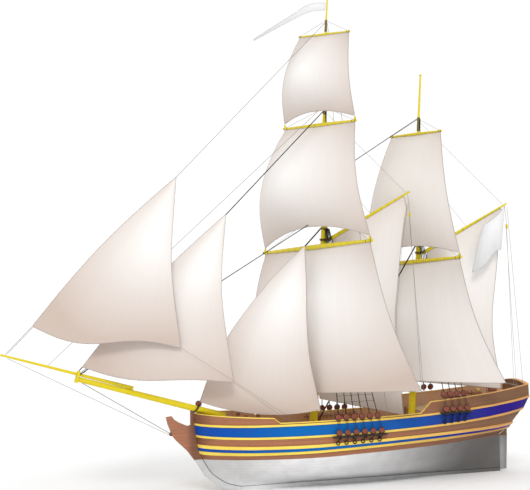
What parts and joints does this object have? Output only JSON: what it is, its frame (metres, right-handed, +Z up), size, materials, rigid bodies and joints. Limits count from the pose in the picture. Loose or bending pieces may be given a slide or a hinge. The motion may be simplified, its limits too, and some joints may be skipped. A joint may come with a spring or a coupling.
{
  "type": "two-masted square-rigged sailing ship",
  "caption": "Full-size wooden sailing ship with square sails, gaff sails and headsails set, a striped hull, swinging yards and gaffs, and a hinged rudder.",
  "frame": {"origin": "amidships on the centreline at the waterline", "axes": "+X forward to the bow, +Y to port, +Z up"},
  "size_m": [35.6921, 13.072, 32.95],
  "materials": {
    "bobstay_tarred_rope": "tarred rope and blackened wood",
    "bowsprit_spar_yellow": "yellow painted spar",
    "bowsprit_bitts_oak": "oiled brown planking",
    "bowsprit_cap_spar_yellow": "yellow painted spar",
    "bulwark_port_oak": "oiled brown planking",
    "bulwark_starboard_oak": "oiled brown planking",
    "companion_oak": "oiled brown planking",
    "ensign_bunting": "pale grey bunting",
    "flying_jib_sailcloth": "off-white sailcloth",
    "fore_staysail_sailcloth": "off-white sailcloth",
    "forecastle_deck_deck_plank": "pale deck planking",
    "hull_bottom_bottom_grey": "grey bottom paint over planking",
    "hull_topsides_oak": "oiled brown planking",
    "inner_jib_sailcloth": "off-white sailcloth",
    "jibboom_spar_yellow": "yellow painted spar",
    "keel_bottom_grey": "grey bottom paint over planking",
    "main_course_sailcloth": "off-white sailcloth",
    "main_crosstrees_spar_yellow": "yellow painted spar",
    "main_gaff_spar_yellow": "yellow painted spar",
    "main_hatch_oak": "oiled brown planking",
    "main_lower_mast_spar_yellow": "yellow painted spar",
    "main_lower_yard_spar_yellow": "yellow painted spar",
    "main_shrouds_port_tarred_rope": "tarred rope and blackened wood",
    "main_shrouds_starboard_tarred_rope": "tarred rope and blackened wood",
    "main_stay_tarred_rope": "tarred rope and blackened wood",
    "main_top_spar_yellow": "yellow painted spar",
    "main_topgallant_mast_spar_yellow": "yellow painted spar",
    "main_topgallant_sail_sailcloth": "off-white sailcloth",
    "main_topgallant_stay_tarred_rope": "tarred rope and blackened wood",
    "main_topgallant_yard_spar_yellow": "yellow painted spar",
    "main_topmast_spar_yellow": "yellow painted spar",
    "main_topmast_stay_tarred_rope": "tarred rope and blackened wood",
    "main_topsail_sailcloth": "off-white sailcloth",
    "main_topsail_yard_spar_yellow": "yellow painted spar",
    "main_trysail_sailcloth": "off-white sailcloth",
    "mizzen_course_sailcloth": "off-white sailcloth",
    "mizzen_gaff_spar_yellow": "yellow painted spar",
    "mizzen_lower_mast_spar_yellow": "yellow painted spar",
    "mizzen_lower_yard_spar_yellow": "yellow painted spar",
    "mizzen_shrouds_port_tarred_rope": "tarred rope and blackened wood",
    "mizzen_shrouds_starboard_tarred_rope": "tarred rope and blackened wood",
    "mizzen_spanker_sailcloth": "off-white sailcloth",
    "mizzen_stay_tarred_rope": "tarred rope and blackened wood",
    "mizzen_top_spar_yellow": "yellow painted spar",
    "mizzen_topmast_spar_yellow": "yellow painted spar",
    "mizzen_topsail_sailcloth": "off-white sailcloth",
    "mizzen_topsail_yard_spar_yellow": "yellow painted spar",
    "pennant_bunting": "pale grey bunting",
    "quarterdeck_deck_plank": "pale deck planking",
    "rail_strake_yellow_paint": "yellow paint on raised plank",
    "rudder_oak": "oiled brown planking",
    "sheer_band_blue_paint": "blue paint on raised plank",
    "sheer_moulding_yellow_paint": "yellow paint on raised plank",
    "stem_knee_oak": "oiled brown planking",
    "transom_oak": "oiled brown planking",
    "wale_band_blue_paint": "blue paint on raised plank",
    "wale_lower_yellow_paint": "yellow paint on raised plank",
    "wale_upper_yellow_paint": "yellow paint on raised plank"
  },
  "bodies": {
    "ship": {"bobstay": "bobstay_tarred_rope", "bowsprit": "bowsprit_spar_yellow", "bowsprit_bitts": "bowsprit_bitts_oak", "bowsprit_cap": "bowsprit_cap_spar_yellow", "bulwark_port": "bulwark_port_oak", "bulwark_starboard": "bulwark_starboard_oak", "companion": "companion_oak", "flying_jib": "flying_jib_sailcloth", "fore_staysail": "fore_staysail_sailcloth", "forecastle_deck": "forecastle_deck_deck_plank", "hull_bottom": "hull_bottom_bottom_grey", "hull_topsides": "hull_topsides_oak", "inner_jib": "inner_jib_sailcloth", "jibboom": "jibboom_spar_yellow", "keel": "keel_bottom_grey", "main_crosstrees": "main_crosstrees_spar_yellow", "main_hatch": "main_hatch_oak", "main_lower_mast": "main_lower_mast_spar_yellow", "main_shrouds_port": "main_shrouds_port_tarred_rope", "main_shrouds_starboard": "main_shrouds_starboard_tarred_rope", "main_stay": "main_stay_tarred_rope", "main_top": "main_top_spar_yellow", "main_topgallant_mast": "main_topgallant_mast_spar_yellow", "main_topgallant_stay": "main_topgallant_stay_tarred_rope", "main_topmast": "main_topmast_spar_yellow", "main_topmast_stay": "main_topmast_stay_tarred_rope", "mizzen_lower_mast": "mizzen_lower_mast_spar_yellow", "mizzen_shrouds_port": "mizzen_shrouds_port_tarred_rope", "mizzen_shrouds_starboard": "mizzen_shrouds_starboard_tarred_rope", "mizzen_stay": "mizzen_stay_tarred_rope", "mizzen_top": "mizzen_top_spar_yellow", "mizzen_topmast": "mizzen_topmast_spar_yellow", "pennant": "pennant_bunting", "quarterdeck": "quarterdeck_deck_plank", "rail_strake": "rail_strake_yellow_paint", "sheer_band": "sheer_band_blue_paint", "sheer_moulding": "sheer_moulding_yellow_paint", "stem_knee": "stem_knee_oak", "transom": "transom_oak", "wale_band": "wale_band_blue_paint", "wale_lower": "wale_lower_yellow_paint", "wale_upper": "wale_upper_yellow_paint"},
    "rudder": {"rudder": "rudder_oak"},
    "main_lower_yard": {"main_lower_yard": "main_lower_yard_spar_yellow", "main_course": "main_course_sailcloth"},
    "main_topsail_yard": {"main_topsail_yard": "main_topsail_yard_spar_yellow", "main_topsail": "main_topsail_sailcloth"},
    "main_topgallant_yard": {"main_topgallant_yard": "main_topgallant_yard_spar_yellow", "main_topgallant_sail": "main_topgallant_sail_sailcloth"},
    "mizzen_lower_yard": {"mizzen_lower_yard": "mizzen_lower_yard_spar_yellow", "mizzen_course": "mizzen_course_sailcloth"},
    "mizzen_topsail_yard": {"mizzen_topsail_yard": "mizzen_topsail_yard_spar_yellow", "mizzen_topsail": "mizzen_topsail_sailcloth"},
    "main_gaff": {"main_gaff": "main_gaff_spar_yellow", "main_trysail": "main_trysail_sailcloth"},
    "mizzen_gaff": {"mizzen_gaff": "mizzen_gaff_spar_yellow", "mizzen_spanker": "mizzen_spanker_sailcloth", "ensign": "ensign_bunting"}
  },
  "joints": [
    {"name": "steering", "type": "hinge", "parent": "ship", "child": "rudder", "pos_m": [-9.6906, 0, 0], "axis": [0, 0, 1], "range_deg": [-35, 35]},
    {"name": "main_course_brace", "type": "hinge", "parent": "ship", "child": "main_lower_yard", "pos_m": [2.6758, 0, 13.68], "axis": [-0.0941, 0, 0.9956], "range_deg": [-12, 8]},
    {"name": "main_topsail_brace", "type": "hinge", "parent": "ship", "child": "main_topsail_yard", "pos_m": [2.338, 0, 21.91], "axis": [-0.0941, 0, 0.9956], "range_deg": [-12, 8]},
    {"name": "main_topgallant_brace", "type": "hinge", "parent": "ship", "child": "main_topgallant_yard", "pos_m": [2.0316, 0, 28.01], "axis": [-0.0941, 0, 0.9956], "range_deg": [-12, 8]},
    {"name": "mizzen_course_brace", "type": "hinge", "parent": "ship", "child": "mizzen_lower_yard", "pos_m": [-4.1072, 0, 12.45], "axis": [-0.0797, 0, 0.9968], "range_deg": [-10, 4]},
    {"name": "mizzen_topsail_brace", "type": "hinge", "parent": "ship", "child": "mizzen_topsail_yard", "pos_m": [-4.4072, 0, 21.2], "axis": [-0.0797, 0, 0.9968], "range_deg": [-10, 4]},
    {"name": "main_gaff_swing", "type": "hinge", "parent": "ship", "child": "main_gaff", "pos_m": [2.6313, 0, 14.15], "axis": [-0.0941, 0, 0.9956], "range_deg": [-5, 5]},
    {"name": "mizzen_gaff_swing", "type": "hinge", "parent": "ship", "child": "mizzen_gaff", "pos_m": [-4.1552, 0, 13.05], "axis": [-0.0797, 0, 0.9968], "range_deg": [-6, 44]}
  ],
  "couplings": [
    {"joint": "main_topsail_brace", "follows": "main_course_brace", "ratio": 1},
    {"joint": "main_topgallant_brace", "follows": "main_course_brace", "ratio": 1},
    {"joint": "mizzen_topsail_brace", "follows": "mizzen_course_brace", "ratio": 1}
  ]
}
